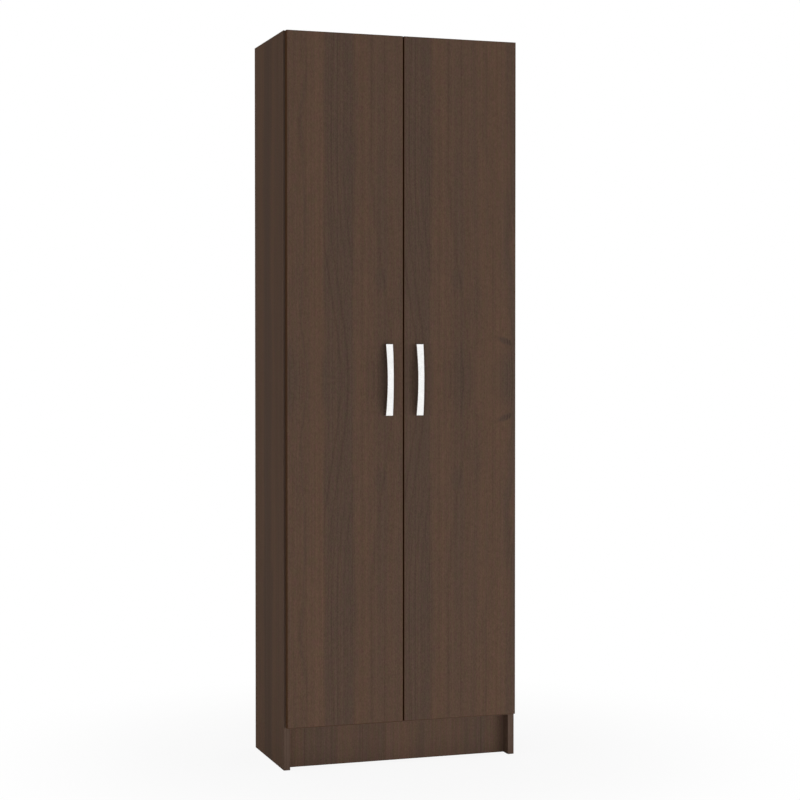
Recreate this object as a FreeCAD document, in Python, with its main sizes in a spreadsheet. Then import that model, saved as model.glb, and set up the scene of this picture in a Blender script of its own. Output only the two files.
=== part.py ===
"""Two-door wardrobe, as a parametric document of boards, hinges, handles and fittings.

The front faces -Y and +Z is up. The origin is on the floor, under the middle of the part's box.
Every size is a cell of one sheet, and each piece is bound to those cells by expressions.
Places are written as distances out from the middle plane, so that one function makes both sides.
"""
import FreeCAD, Part
import os
import re
import Sketcher
from FreeCAD import Placement, Rotation, Vector

# Driving sizes, in millimetres
SIZES = {
    # Carcass
    "cabinet_width": 600,
    "cabinet_height": 1790,
    "cabinet_depth": 300,
    "board": 16,
    "edge_band": 1,
    "edge_round": 0.8,
    "plinth_height": 100,
    "plinth_setback": 31,
    "back_board": 3,
    "back_recess": 10,
    "groove_depth": 7,
    "groove_play": 0.1,
    # Shelves
    "hat_space": 284,
    "shoe_space": 200,
    "shelf_setback": 20,
    "shelf_end_play": 1.2,
    # Doors
    "door_thickness": 16,
    "door_gap": 2.5,
    "door_inset": 4,
    "door_meeting_gap": 3,
    "door_bottom_reveal": 5,
    "door_top_reveal": 1,
    # Bow handles
    "handle_length": 176,
    "handle_spacing": 160,
    "handle_width": 18.5,
    "handle_waist": 16,
    "handle_projection": 21,
    "handle_end": 11,
    "handle_strap": 5,
    "handle_foot": 16,
    "handle_inset": 38,
    "handle_round": 2,
    "handle_inner_round": 0.8,
    "handle_bore_depth": 8,
    # Cup hinges with one pivot
    "hinge_end_distance": 100,
    "cup_diameter": 35,
    "cup_depth": 12.2,
    "cup_edge": 2.5,
    "cup_flange": 1,
    "cup_wing_width": 11,
    "cup_wing_length": 60,
    "cup_wing_round": 5,
    "cup_screw_offset": 6,
    "cup_screw_spacing": 48,
    "pocket_width": 10,
    "pocket_round": 1,
    "pocket_play": 0.4,
    "pivot_inset": 6.8,
    "pivot_depth": 8.5,
    "pivot_pin": 2.4,
    "pivot_pin_length": 18,
    "pivot_play": 0.05,
    "knuckle": 4.8,
    "arm_width": 9.2,
    "arm_thickness": 2.2,
    "arm_offset": 6.2,
    "arm_bend": 2.6,
    "arm_inner_bend": 0.8,
    "strap_width": 16,
    "strap_start": 3,
    "strap_end": 60,
    "strap_end_round": 5,
    "strap_screw_front": 27,
    "strap_screw_rear": 49,
    "plate_setback": 37,
    "plate_base": 1.6,
    "plate_wing_width": 15,
    "plate_wing_length": 50,
    "plate_front": 18,
    "plate_rear": 58,
    "plate_spine_width": 15,
    "plate_round": 4,
    "plate_screw_spacing": 32,
    # Cam joints
    "cam_diameter": 15,
    "cam_depth": 12.5,
    "cam_inset": 34,
    "cam_cross_length": 9,
    "cam_cross_width": 1.8,
    "cam_cross_depth": 2,
    "bolt_bore": 8,
    "bolt_shank": 6,
    "bolt_neck": 4,
    "bolt_head": 7,
    "bolt_head_length": 3,
    "bolt_neck_length": 4,
    "bolt_thread": 5,
    "bolt_thread_length": 11,
    "joint_front": 60,
    "joint_rear": 60,
    "plinth_bolt_level": 66,
    "dowel_diameter": 8,
    "dowel_in_side": 10,
    "dowel_in_panel": 20,
    "dowel_offset": 32,
    "dowel_chamfer": 1,
    "bore_end_play": 0.5,
    # Shelf pins
    "pin_diameter": 5,
    "pin_in_side": 9,
    "pin_collar_diameter": 8,
    "pin_collar": 1,
    "pin_out": 9,
    "pin_pitch": 32,
    "pin_front": 60,
    "pin_rear": 50,
    # Hanging rail, an oval tube
    "rail_height": 30,
    "rail_width": 15,
    "rail_wall": 1.2,
    "rail_drop": 62,
    "rail_front_gap": 16,
    "rail_rear_gap": 12,
    "rail_cap": 2,
    "rail_plug": 8,
    "rail_play": 0.1,
    "bracket_inset": 40,
    "bracket_base_length": 52,
    "bracket_base_width": 20,
    "bracket_base": 2.5,
    "bracket_base_round": 4,
    "bracket_neck": 9,
    "bracket_collar_wall": 3,
    "bracket_collar_depth": 14,
    "bracket_screw_spacing": 36,
    # Magnetic catches
    "catch_inset": 60,
    "catch_width": 46,
    "catch_depth": 14,
    "catch_height": 13,
    "catch_front": 0.5,
    "catch_round": 1.5,
    "catch_screw_spacing": 34,
    "magnet_width": 21,
    "magnet_height": 8,
    "magnet_pocket": 10,
    "magnet_groove_width": 4,
    "magnet_groove_depth": 1,
    "strike_length": 42,
    "strike_height": 12,
    "strike_thickness": 1,
    "strike_gap": 0.3,
    "strike_round": 3,
    "strike_screw_spacing": 31,
    # Bumpers
    "bumper_diameter": 8,
    "bumper_inset": 20,
    "bumper_play": 0.2,
    "bumper_chamfer": 0.6,
    # Screws
    "fit_play": 0.1,
    "wood_screw": 3.5,
    "wood_screw_grip": 11,
    "wood_screw_head": 6.4,
    "wood_screw_head_height": 1.2,
    "wood_screw_tip": 2,
    "machine_screw": 4,
    "machine_screw_head": 8,
    "machine_screw_head_height": 2,
    "head_chamfer": 0.5,
    "recess_length": 3.6,
    "recess_width": 1,
    "recess_depth": 0.8,
    "arm_screw_grip": 3.6,
}

# Sizes worked out from the driving sizes. The x values are distances out from the middle plane
FORMULAS = {
    "inner_half": "cabinet_width / 2 - board",
    "back_y": "(cabinet_depth + handle_projection) / 2",
    "door_front_y": "back_y - cabinet_depth",
    "door_back_y": "door_front_y + door_thickness",
    "front_y": "door_back_y + door_gap",
    "board_front_y": "front_y + edge_band",
    "shelf_front_y": "front_y + shelf_setback",
    "panel_rear_y": "back_y - back_recess",
    "panel_front_y": "panel_rear_y - back_board",
    "plinth_front_y": "front_y + plinth_setback",
    "plinth_rear_y": "plinth_front_y + board",
    "top_level": "cabinet_height - board",
    "bottom_top": "plinth_height + board",
    "hat_shelf_level": "top_level - hat_space - board",
    "shoe_shelf_level": "bottom_top + shoe_space",
    "door_out": "cabinet_width / 2 - door_inset",
    "door_in": "door_meeting_gap / 2",
    "door_top": "cabinet_height - door_top_reveal",
    "door_bottom": "plinth_height + door_bottom_reveal",
    "door_middle": "(door_bottom + door_top) / 2",
    "handle_x": "door_in + handle_inset",
    "cup_x": "door_out - cup_edge - cup_diameter / 2",
    "pivot_x": "door_out - pivot_inset",
    "pivot_y": "door_back_y - pivot_depth",
    "pivot_offset": "pivot_x - cup_x",
    "front_reach": "door_gap + pivot_depth",
    "arm_near": "pivot_x - inner_half + arm_offset",
    "arm_far": "arm_near + arm_thickness",
    "rail_z": "hat_shelf_level - rail_drop",
    "rail_front_y": "shelf_front_y + rail_front_gap",
    "rail_rear_y": "panel_front_y - rail_rear_gap",
    "catch_z": "top_level - catch_height / 2",
    "magnet_front": "strike_thickness + strike_gap - door_gap",
    "pin_level": "shoe_shelf_level - pin_diameter / 2",
}

SIGNS = {"left": -1, "right": 1}
HINGE_LEVELS = ("door_bottom + hinge_end_distance", "door_middle", "door_top - hinge_end_distance")
FIXED_PANELS = {"top_panel": "top_level", "hat_shelf": "hat_shelf_level", "bottom_panel": "plinth_height"}
BOLT_ROWS = ("front_y + joint_front", "back_y - joint_rear")
DOWEL_ROWS = ("front_y + joint_front + dowel_offset", "back_y - joint_rear - dowel_offset")
PLINTH_MIDDLE = "plinth_front_y + board / 2"
PIN_ROWS = ("front_y + pin_front", "panel_front_y - pin_rear")
PIN_STEPS = (-2, -1, 0, 1, 2)
BRACKET_ROWS = ("rail_front_y + bracket_inset", "rail_rear_y - bracket_inset")

PLANES = {"x": "YZ_Plane", "y": "XZ_Plane", "z": "XY_Plane"}
ACROSS = {"x": "yz", "y": "xz", "z": "xy"}
AXIS = {"x": Vector(1, 0, 0), "y": Vector(0, 1, 0), "z": Vector(0, 0, 1)}
NEAR = 1e-4

doc = FreeCAD.newDocument("wardrobe")
sheet = doc.addObject("Spreadsheet::Sheet", "Sizes")
for row, (name, size) in enumerate({**SIZES, **FORMULAS}.items(), start=1):
    sheet.set(f"A{row}", name)
    sheet.set(f"B{row}", str(size) if name in SIZES else f"={size}")
    sheet.setAlias(f"B{row}", name)
doc.recompute()

nodes = []
corners_of = {}


def cell(text):
    """The text as an expression, with each size name pointed at its cell."""
    def point(word):
        known = word[0] in SIZES or word[0] in FORMULAS
        return f"Sizes.{word[0]}" if known else word[0]
    return re.sub(r"[a-z_]+", point, text)


def value(text):
    return float(sheet.evalExpression(cell(text)))


def bind(thing, path, text):
    thing.setExpression(path, cell(text))


def place(thing, spot, rotation=Rotation()):
    thing.Placement = Placement(Vector(), rotation)
    for letter, text in zip("xyz", spot):
        bind(thing, f"Placement.Base.{letter}", text)


def on(side, out):
    """The x of a distance out from the middle plane, on the given side."""
    return f"{SIGNS[side]} * ({out})"


def turned_in(side):
    """Pieces are drawn for the left side. On the right they turn half round, so in and up reverse."""
    return Rotation(AXIS["y"], 0 if side == "left" else 180)


def keep(thing, name):
    thing.Label = name
    nodes.append(thing)
    return thing


# Sketches and features

def new_body(name, corner=("0", "0", "0")):
    body = doc.addObject("PartDesign::Body", name)
    place(body, corner)
    corners_of[body.Name] = corner
    return body


def sketch_on(body, axis, level="0"):
    """A sketch square to an axis of the body, at a level along it."""
    sketch = body.newObject("Sketcher::SketchObject", f"{body.Name}_sketch")
    plane = next(item for item in body.Origin.OriginFeatures if item.Role == PLANES[axis])
    sketch.AttachmentSupport = [(plane, "")]
    sketch.MapMode = "FlatFace"
    bind(sketch, "AttachmentOffset.Base.z", f"-({level})" if axis == "y" else level)
    return sketch


def constrain(sketch, kind, items, text):
    index = sketch.addConstraint(Sketcher.Constraint(kind, *items, value(text)))
    bind(sketch, f"Constraints[{index}]", text)


def pin_point(sketch, shape, end, spot):
    for kind, axis, text in zip(("DistanceX", "DistanceY"), (-2, -1), spot):
        if text == "0":
            sketch.addConstraint(Sketcher.Constraint("PointOnObject", shape, end, axis))
        else:
            constrain(sketch, kind, (-1, 1, shape, end), text)


def outline(sketch, corners):
    """A closed outline. A corner of four texts starts an arc through its last two."""
    points = [Vector(value(x), value(y), 0) for x, y, *_ in corners]
    shapes = []
    for start, end, (_, _, *through) in zip(points, points[1:] + points[:1], corners):
        if through:
            middle = Vector(value(through[0]), value(through[1]), 0)
            shape = sketch.addGeometry(Part.Arc(start, middle, end))
            mark = sketch.addGeometry(Part.Point(middle), True)
            pin_point(sketch, mark, 1, through)
            sketch.addConstraint(Sketcher.Constraint("PointOnObject", mark, 1, shape))
        else:
            shape = sketch.addGeometry(Part.LineSegment(start, end))
        ahead = sketch.getPoint(shape, 1).distanceToPoint(start) < NEAR
        shapes.append((shape, (1, 2) if ahead else (2, 1)))
    for (shape, ends), (after, after_ends) in zip(shapes, shapes[1:] + shapes[:1]):
        sketch.addConstraint(Sketcher.Constraint("Coincident", shape, ends[1], after, after_ends[0]))
    for (shape, ends), (x, y, *_) in zip(shapes, corners):
        pin_point(sketch, shape, ends[0], (x, y))


def rectangle(sketch, low, high):
    outline(sketch, [(low[0], low[1]), (high[0], low[1]), (high[0], high[1]), (low[0], high[1])])


def middle_rectangle(sketch, width, height):
    rectangle(sketch, (f"-({width}) / 2", f"-({height}) / 2"), (f"({width}) / 2", f"({height}) / 2"))


def oval(sketch, width, height, level="0"):
    """An upright oval with half-round ends."""
    side = f"({width}) / 2"
    bend = f"(({height}) - ({width})) / 2"
    outline(sketch, [
        (side, f"{level} - {bend}"),
        (side, f"{level} + {bend}", "0", f"{level} + ({height}) / 2"),
        (f"-{side}", f"{level} + {bend}"),
        (f"-{side}", f"{level} - {bend}", "0", f"{level} - ({height}) / 2"),
    ])


def cross(sketch, length, width):
    """The outline of a cross recess for a screwdriver."""
    long = f"{length} / 2"
    wide = f"{width} / 2"
    outline(sketch, [(long, f"-{wide}"), (long, wide), (wide, wide), (wide, long), (f"-{wide}", long),
                     (f"-{wide}", wide), (f"-{long}", wide), (f"-{long}", f"-{wide}"),
                     (f"-{wide}", f"-{wide}"), (f"-{wide}", f"-{long}"), (wide, f"-{long}"),
                     (wide, f"-{wide}")])


def circle(sketch, spot, diameter):
    centre = Vector(value(spot[0]), value(spot[1]), 0)
    shape = sketch.addGeometry(Part.Circle(centre, AXIS["z"], value(diameter) / 2))
    pin_point(sketch, shape, 3, spot)
    constrain(sketch, "Diameter", (shape,), diameter)


def feature(body, kind, sketch, axis, length, toward):
    """A pad or pocket along an axis of its body: toward is +1, -1, or 0 for half each way."""
    made = body.newObject(f"PartDesign::{kind}", f"{body.Name}_{kind.lower()}")
    made.Profile = sketch
    bind(made, "Length", length)
    if toward == 0:
        made.SideType = "Symmetric"
    else:
        default = (1 if kind == "Pad" else -1) * (-1 if axis == "y" else 1)
        made.Reversed = toward != default
    sketch.Visibility = False
    return made


def pad(body, sketch, axis, length, toward=1):
    return feature(body, "Pad", sketch, axis, length, toward)


def pocket(body, sketch, axis, depth, toward):
    return feature(body, "Pocket", sketch, axis, depth, toward)


def fillet(body, radius, picks):
    """Round the edges of the body that the test picks."""
    doc.recompute()
    base = body.Tip
    names = [f"Edge{i}" for i, edge in enumerate(base.Shape.Edges, start=1) if picks(edge)]
    rounding = body.newObject("PartDesign::Fillet", f"{body.Name}_fillet")
    rounding.Base = (base, names)
    bind(rounding, "Radius", radius)


def runs(edge, axis):
    """Whether a straight edge runs along an axis."""
    line = edge.Vertexes[-1].Point - edge.Vertexes[0].Point
    return edge.Curve.TypeId == "Part::GeomLine" and line.cross(AXIS[axis]).Length < NEAR


def lies(edge, axis, across, levels):
    """Whether an edge runs along one axis at one of the levels across it."""
    level = getattr(edge.CenterOfMass, across)
    return runs(edge, axis) and any(abs(level - other) < NEAR for other in levels)


def local(body, axis, text):
    return f"({text}) - ({corners_of[body.Name]['xyz'.index(axis)]})"


def drill(body, axis, level, centres, diameter, depth, toward):
    """Round holes along an axis from a face, with face and centres in the part's frame."""
    sketch = sketch_on(body, axis, local(body, axis, level))
    for centre in centres:
        spot = [local(body, letter, text) for letter, text in zip(ACROSS[axis], centre)]
        circle(sketch, spot, diameter)
    pocket(body, sketch, axis, depth, toward)


def board(name, axis, corner, size):
    """A flat board from its low corner, padded along its thickness."""
    body = new_body(name, corner)
    sketch = sketch_on(body, axis)
    sides = dict(zip("xyz", size))
    rectangle(sketch, ("0", "0"), [sides[letter] for letter in ACROSS[axis]])
    pad(body, sketch, axis, sides[axis])
    return body


def turned(name, profile):
    """A piece turned about Z from its half profile of radius and height."""
    body = new_body(name)
    sketch = sketch_on(body, "y")
    outline(sketch, profile)
    spin = body.newObject("PartDesign::Revolution", f"{name}_revolution")
    spin.Profile = sketch
    spin.ReferenceAxis = (sketch, ["V_Axis"])
    spin.Angle = 360
    sketch.Visibility = False
    return body


def facing(letter, sign):
    """The turn that points a piece's +Z along an axis."""
    return Rotation(AXIS["z"], AXIS[letter] * sign)


def group(name, piece, spots):
    """One node of separate copies of a piece, each at its own spot and turn."""
    links = []
    for count, (spot, rotation) in enumerate(spots, start=1):
        link = doc.addObject("App::Link", f"{name}_{count}")
        link.LinkedObject = piece
        place(link, spot, rotation)
        links.append(link)
    compound = doc.addObject("Part::Compound", name)
    compound.Links = links
    return keep(compound, name)


# Boards of the carcass

def side_panel(side):
    inner_face = on(side, "inner_half")
    low_x = "-cabinet_width / 2" if side == "left" else "inner_half"
    outward = SIGNS[side]
    body = board(f"{side}_side_panel", "x", (low_x, "board_front_y", "0"),
                 ("board", "back_y - board_front_y", "cabinet_height - edge_band"))
    groove = sketch_on(body, "x", local(body, "x", inner_face))
    rectangle(groove, (local(body, "y", "panel_front_y - groove_play"), "0"),
              (local(body, "y", "panel_rear_y + groove_play"), "cabinet_height"))
    pocket(body, groove, "x", "groove_depth", outward)
    bolts = [(row, f"{level} + board / 2") for level in FIXED_PANELS.values() for row in BOLT_ROWS]
    bolts.append((PLINTH_MIDDLE, "plinth_bolt_level"))
    drill(body, "x", inner_face, bolts, "bolt_thread + 2 * fit_play",
          "bolt_thread_length + bore_end_play", outward)
    dowels = [(row, f"{level} + board / 2") for level in FIXED_PANELS.values() for row in DOWEL_ROWS]
    dowels.append((PLINTH_MIDDLE, "plinth_bolt_level - dowel_offset"))
    drill(body, "x", inner_face, dowels, "dowel_diameter + 2 * fit_play",
          "dowel_in_side + bore_end_play", outward)
    pins = [(row, f"pin_level + {step} * pin_pitch") for row in PIN_ROWS for step in PIN_STEPS]
    drill(body, "x", inner_face, pins, "pin_diameter + 2 * fit_play",
          "pin_in_side + bore_end_play", outward)
    screws = [("front_y + plate_setback", f"{level} + {step} * plate_screw_spacing / 2")
              for level in HINGE_LEVELS for step in (-1, 1)]
    drill(body, "x", inner_face, screws, "wood_screw + 2 * fit_play",
          "wood_screw_grip + bore_end_play", outward)
    keep(body, f"{side}_side_panel")


def bore_ends(body, bolts, dowels):
    """The bores in both ends of a panel for its cam bolts and dowels."""
    for side, sign in SIGNS.items():
        face = on(side, "inner_half")
        drill(body, "x", face, bolts, "bolt_bore", "cam_inset", -sign)
        drill(body, "x", face, dowels, "dowel_diameter + 2 * fit_play",
              "dowel_in_panel + bore_end_play", -sign)


def fixed_panel(name, level, front, rear):
    """A level board between the sides, with cam joints in both ends."""
    body = board(name, "z", ("-inner_half", f"{front} + edge_band", level),
                 ("2 * inner_half", f"{rear} - {front} - edge_band", "board"))
    height = f"{level} + board / 2"
    bore_ends(body, [(row, height) for row in BOLT_ROWS], [(row, height) for row in DOWEL_ROWS])
    cams = [(on(side, "inner_half - cam_inset"), row) for side in SIGNS for row in BOLT_ROWS]
    drill(body, "z", level, cams, "cam_diameter", "cam_depth", 1)
    return keep(body, name)


def back_groove(body, level, toward):
    """The groove along a panel that takes the edge of the back panel."""
    groove = sketch_on(body, "z", local(body, "z", level))
    rectangle(groove, ("0", local(body, "y", "panel_front_y - groove_play")),
              ("2 * inner_half", local(body, "y", "panel_rear_y + groove_play")))
    pocket(body, groove, "z", "groove_depth", toward)


def level_panels():
    top = fixed_panel("top_panel", "top_level", "front_y", "back_y")
    back_groove(top, "top_level", 1)
    catch_screws = [spot[:2] for spot in catch_screw_spots()]
    drill(top, "z", "top_level", catch_screws, "wood_screw + 2 * fit_play",
          "wood_screw_grip + bore_end_play", 1)
    bottom = fixed_panel("bottom_panel", "plinth_height", "front_y", "back_y")
    back_groove(bottom, "bottom_top", -1)
    hat_shelf = fixed_panel("hat_shelf", "hat_shelf_level", "shelf_front_y", "panel_front_y")
    drill(hat_shelf, "z", "hat_shelf_level", [spot[:2] for spot in bracket_screw_spots()],
          "wood_screw + 2 * fit_play", "wood_screw_grip + bore_end_play", 1)
    shoe_shelf = board("shoe_shelf", "z",
                       ("shelf_end_play - inner_half", "shelf_front_y + edge_band", "shoe_shelf_level"),
                       ("2 * (inner_half - shelf_end_play)", "panel_front_y - shelf_front_y - edge_band",
                        "board"))
    keep(shoe_shelf, "shoe_shelf")


def plinth():
    body = board("plinth", "y", ("-inner_half", "plinth_front_y", "0"),
                 ("2 * inner_half", "board", "plinth_height"))
    bore_ends(body, [(PLINTH_MIDDLE, "plinth_bolt_level")],
              [(PLINTH_MIDDLE, "plinth_bolt_level - dowel_offset")])
    cams = [(on(side, "inner_half - cam_inset"), "plinth_bolt_level") for side in SIGNS]
    drill(body, "y", "plinth_rear_y", cams, "cam_diameter", "cam_depth", -1)
    keep(body, "plinth")


def back_panel():
    reach = "groove_depth - groove_play"
    low = f"bottom_top - ({reach})"
    high = f"top_level + {reach}"
    body = board("back_panel", "y", (f"-(inner_half + {reach})", "panel_front_y", low),
                 (f"2 * (inner_half + {reach})", "back_board", f"{high} - ({low})"))
    keep(body, "back_panel")


def front_band(name, axis, corner, size):
    """An edge band on a board's front edge, rounded along both its long front edges."""
    body = board(name, "y", corner, size)
    fillet(body, "edge_round", lambda edge: runs(edge, axis) and edge.BoundBox.YMax < NEAR)
    return body


def top_band(name, low_x):
    """An edge band on the top end of a side panel, behind its front band."""
    body = board(name, "z", (low_x, "board_front_y", "cabinet_height - edge_band"),
                 ("board", "back_y - board_front_y", "edge_band"))
    upper = value("edge_band")
    fillet(body, "edge_round", lambda edge: runs(edge, "y") and edge.BoundBox.ZMin > upper - NEAR)
    return body


def carcass_bands():
    bands = []
    for side, low_x in (("left", "-cabinet_width / 2"), ("right", "inner_half")):
        bands.append(front_band(f"{side}_band", "z", (low_x, "front_y", "0"),
                                ("board", "edge_band", "cabinet_height")))
        bands.append(top_band(f"{side}_top_band", low_x))
    for name, level in FIXED_PANELS.items():
        front = "shelf_front_y" if name == "hat_shelf" else "front_y"
        bands.append(front_band(f"{name}_band", "x", ("-inner_half", front, level),
                                ("2 * inner_half", "edge_band", "board")))
    bands.append(front_band("shoe_shelf_band", "x",
                            ("shelf_end_play - inner_half", "shelf_front_y", "shoe_shelf_level"),
                            ("2 * (inner_half - shelf_end_play)", "edge_band", "board")))
    compound = doc.addObject("Part::Compound", "carcass_edge_bands")
    compound.Links = bands
    keep(compound, "carcass_edge_bands")


# Cam joints, dowels and shelf pins

def cam():
    """A cam lock with its face down at z 0 and the slot for the bolt towards +X."""
    body = new_body("cam")
    disc = sketch_on(body, "z")
    circle(disc, ("0", "0"), "cam_diameter - 2 * fit_play")
    pad(body, disc, "z", "cam_depth - fit_play")
    slot = sketch_on(body, "x", "-bolt_head_length")
    circle(slot, ("0", "board / 2"), "bolt_bore")
    pocket(body, slot, "x", "cam_diameter", 1)
    recess = sketch_on(body, "z")
    cross(recess, "cam_cross_length", "cam_cross_width")
    pocket(body, recess, "z", "cam_cross_depth", 1)
    return body


def cam_joints():
    """The locks, bolts and dowels of every fixed panel and the plinth."""
    bolt_end = "cam_inset + bolt_head_length / 2"
    shank_end = f"{bolt_end} - bolt_head_length - bolt_neck_length"
    bolt = turned("cam_bolt", [
        ("0", "-bolt_thread_length"), ("bolt_thread / 2", "-bolt_thread_length"),
        ("bolt_thread / 2", "0"), ("bolt_shank / 2", "0"), ("bolt_shank / 2", shank_end),
        ("bolt_neck / 2", shank_end), ("bolt_neck / 2", f"{bolt_end} - bolt_head_length"),
        ("bolt_head / 2", f"{bolt_end} - bolt_head_length"), ("bolt_head / 2", bolt_end), ("0", bolt_end)])
    dowel = turned("wood_dowel", [
        ("0", "-dowel_in_side"), ("dowel_diameter / 2 - dowel_chamfer", "-dowel_in_side"),
        ("dowel_diameter / 2", "dowel_chamfer - dowel_in_side"),
        ("dowel_diameter / 2", "dowel_in_panel - dowel_chamfer"),
        ("dowel_diameter / 2 - dowel_chamfer", "dowel_in_panel"), ("0", "dowel_in_panel")])
    locks = []
    bolts = []
    dowels = []
    for side, sign in SIGNS.items():
        face = on(side, "inner_half")
        centre = on(side, "inner_half - cam_inset")
        inward = facing("x", -sign)
        level_turn = Rotation(AXIS["z"], 0 if side == "right" else 180)
        upright_turn = Rotation(AXIS["y"], 0 if side == "right" else 180) * Rotation(AXIS["x"], 90)
        for level in FIXED_PANELS.values():
            height = f"{level} + board / 2"
            locks += [((centre, row, level), level_turn) for row in BOLT_ROWS]
            bolts += [((face, row, height), inward) for row in BOLT_ROWS]
            dowels += [((face, row, height), inward) for row in DOWEL_ROWS]
        locks.append(((centre, "plinth_rear_y", "plinth_bolt_level"), upright_turn))
        bolts.append(((face, PLINTH_MIDDLE, "plinth_bolt_level"), inward))
        dowels.append(((face, PLINTH_MIDDLE, "plinth_bolt_level - dowel_offset"), inward))
    group("cam_locks", cam(), locks)
    group("cam_bolts", bolt, bolts)
    group("wood_dowels", dowel, dowels)


def shelf_pins():
    pin = turned("shelf_pin", [
        ("0", "-pin_in_side"), ("pin_diameter / 2", "-pin_in_side"), ("pin_diameter / 2", "0"),
        ("pin_collar_diameter / 2", "0"), ("pin_collar_diameter / 2", "pin_collar"),
        ("pin_diameter / 2", "pin_collar"), ("pin_diameter / 2", "pin_out"), ("0", "pin_out")])
    group("shelf_pins", pin, [((on(side, "inner_half"), row, "pin_level"), facing("x", -sign))
                              for side, sign in SIGNS.items() for row in PIN_ROWS])


# Screws

def screw(name, diameter, length, head, head_height, tip="0"):
    """A screw with its head above z 0 and its shank below."""
    profile = [("0", f"-({length})")]
    if tip != "0":
        profile.append((f"({diameter}) / 2", f"{tip} - ({length})"))
    else:
        profile.append((f"({diameter}) / 2", f"-({length})"))
    profile += [(f"({diameter}) / 2", "0"), (f"({head}) / 2", "0"),
                (f"({head}) / 2", f"{head_height} - head_chamfer"),
                (f"({head}) / 2 - head_chamfer", head_height), ("0", head_height)]
    body = turned(name, profile)
    recess = sketch_on(body, "z", head_height)
    cross(recess, "recess_length", "recess_width")
    pocket(body, recess, "z", "recess_depth", -1)
    return body


def wood_screw(name, through):
    """A wood screw that passes through a fitting and grips the board behind it."""
    return screw(name, "wood_screw", f"wood_screw_grip + {through}", "wood_screw_head",
                 "wood_screw_head_height", "wood_screw_tip")


# Hanging rail

def bracket_screw_spots():
    return [(f"{step} * bracket_screw_spacing / 2", row, "hat_shelf_level - bracket_base")
            for row in BRACKET_ROWS for step in (-1, 1)]


def rail_bracket():
    """A bracket with its base up against z 0 and its collar round the rail."""
    body = new_body("rail_bracket")
    base = sketch_on(body, "z")
    middle_rectangle(base, "bracket_base_length", "bracket_base_width")
    pad(body, base, "z", "bracket_base", -1)
    fillet(body, "bracket_base_round", lambda edge: runs(edge, "z"))
    collar = sketch_on(body, "y")
    wider = "2 * bracket_collar_wall"
    oval(collar, f"rail_width + {wider}", f"rail_height + {wider}", "-rail_drop")
    pad(body, collar, "y", "bracket_collar_depth", 0)
    neck = sketch_on(body, "y")
    rectangle(neck, ("-bracket_neck / 2", "-rail_drop"), ("bracket_neck / 2", "-bracket_base / 2"))
    pad(body, neck, "y", "bracket_collar_depth", 0)
    hole = sketch_on(body, "y")
    oval(hole, "rail_width + 2 * rail_play", "rail_height + 2 * rail_play", "-rail_drop")
    pocket(body, hole, "y", "2 * bracket_collar_depth", 0)
    screws = sketch_on(body, "z")
    for step in (-1, 1):
        circle(screws, (f"{step} * bracket_screw_spacing / 2", "0"), "wood_screw + 2 * fit_play")
    pocket(body, screws, "z", "bracket_base", -1)
    return body


def hanging_rail():
    tube = new_body("hanging_rail", ("0", "rail_front_y", "rail_z"))
    ring = sketch_on(tube, "y")
    oval(ring, "rail_width", "rail_height")
    oval(ring, "rail_width - 2 * rail_wall", "rail_height - 2 * rail_wall")
    pad(tube, ring, "y", "rail_rear_y - rail_front_y")
    keep(tube, "hanging_rail")
    cap = new_body("rail_cap")
    face = sketch_on(cap, "y")
    oval(face, "rail_width", "rail_height")
    pad(cap, face, "y", "rail_cap", -1)
    plug = sketch_on(cap, "y")
    narrower = "2 * (rail_wall + rail_play)"
    oval(plug, f"rail_width - {narrower}", f"rail_height - {narrower}")
    pad(cap, plug, "y", "rail_plug", 1)
    group("rail_end_caps", cap, [(("0", "rail_front_y", "rail_z"), Rotation()),
                                 (("0", "rail_rear_y", "rail_z"), Rotation(AXIS["z"], 180))])
    group("rail_brackets", rail_bracket(),
          [(("0", row, "hat_shelf_level"), Rotation()) for row in BRACKET_ROWS])
    group("rail_screws", wood_screw("rail_screw", "bracket_base"),
          [(spot, facing("z", -1)) for spot in bracket_screw_spots()])


# Hinges, drawn for the left door with the inside of the cabinet towards +X

def hinge_cup():
    """A hinge cup, with its middle at the origin on the door's back face."""
    body = new_body("hinge_cup")
    disc = sketch_on(body, "y", "cup_flange")
    circle(disc, ("0", "0"), "cup_diameter - 2 * fit_play")
    pad(body, disc, "y", "cup_flange + cup_depth", -1)
    wing = sketch_on(body, "y")
    rectangle(wing, ("cup_screw_offset - cup_wing_width / 2", "-cup_wing_length / 2"),
              ("cup_screw_offset + cup_wing_width / 2", "cup_wing_length / 2"))
    pad(body, wing, "y", "cup_flange")
    corner = value("cup_wing_length") / 2
    fillet(body, "cup_wing_round",
           lambda edge: runs(edge, "y") and abs(abs(edge.CenterOfMass.z) - corner) < NEAR)
    well = sketch_on(body, "y", "cup_flange")
    low_x = "-(pivot_offset + knuckle / 2 + pocket_play)"
    high_x = "arm_far + pocket_play - pivot_offset"
    rectangle(well, (low_x, "-pocket_width / 2"), (high_x, "pocket_width / 2"))
    pocket(body, well, "y", "cup_flange + pivot_depth + knuckle / 2 + pocket_play", -1)
    wall = value("pocket_width") / 2
    fillet(body, "pocket_round",
           lambda edge: runs(edge, "y") and abs(abs(edge.CenterOfMass.z) - wall) < NEAR)
    pin_hole = sketch_on(body, "z")
    circle(pin_hole, ("-pivot_offset", "-pivot_depth"), "pivot_pin + 2 * pivot_play")
    pocket(body, pin_hole, "z", "pivot_pin_length + 2 * pivot_play", 0)
    screws = sketch_on(body, "y")
    for step in (-1, 1):
        circle(screws, ("cup_screw_offset", f"{step} * cup_screw_spacing / 2"), "wood_screw + 2 * fit_play")
    pocket(body, screws, "y", "cup_flange", 1)
    return body


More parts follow.
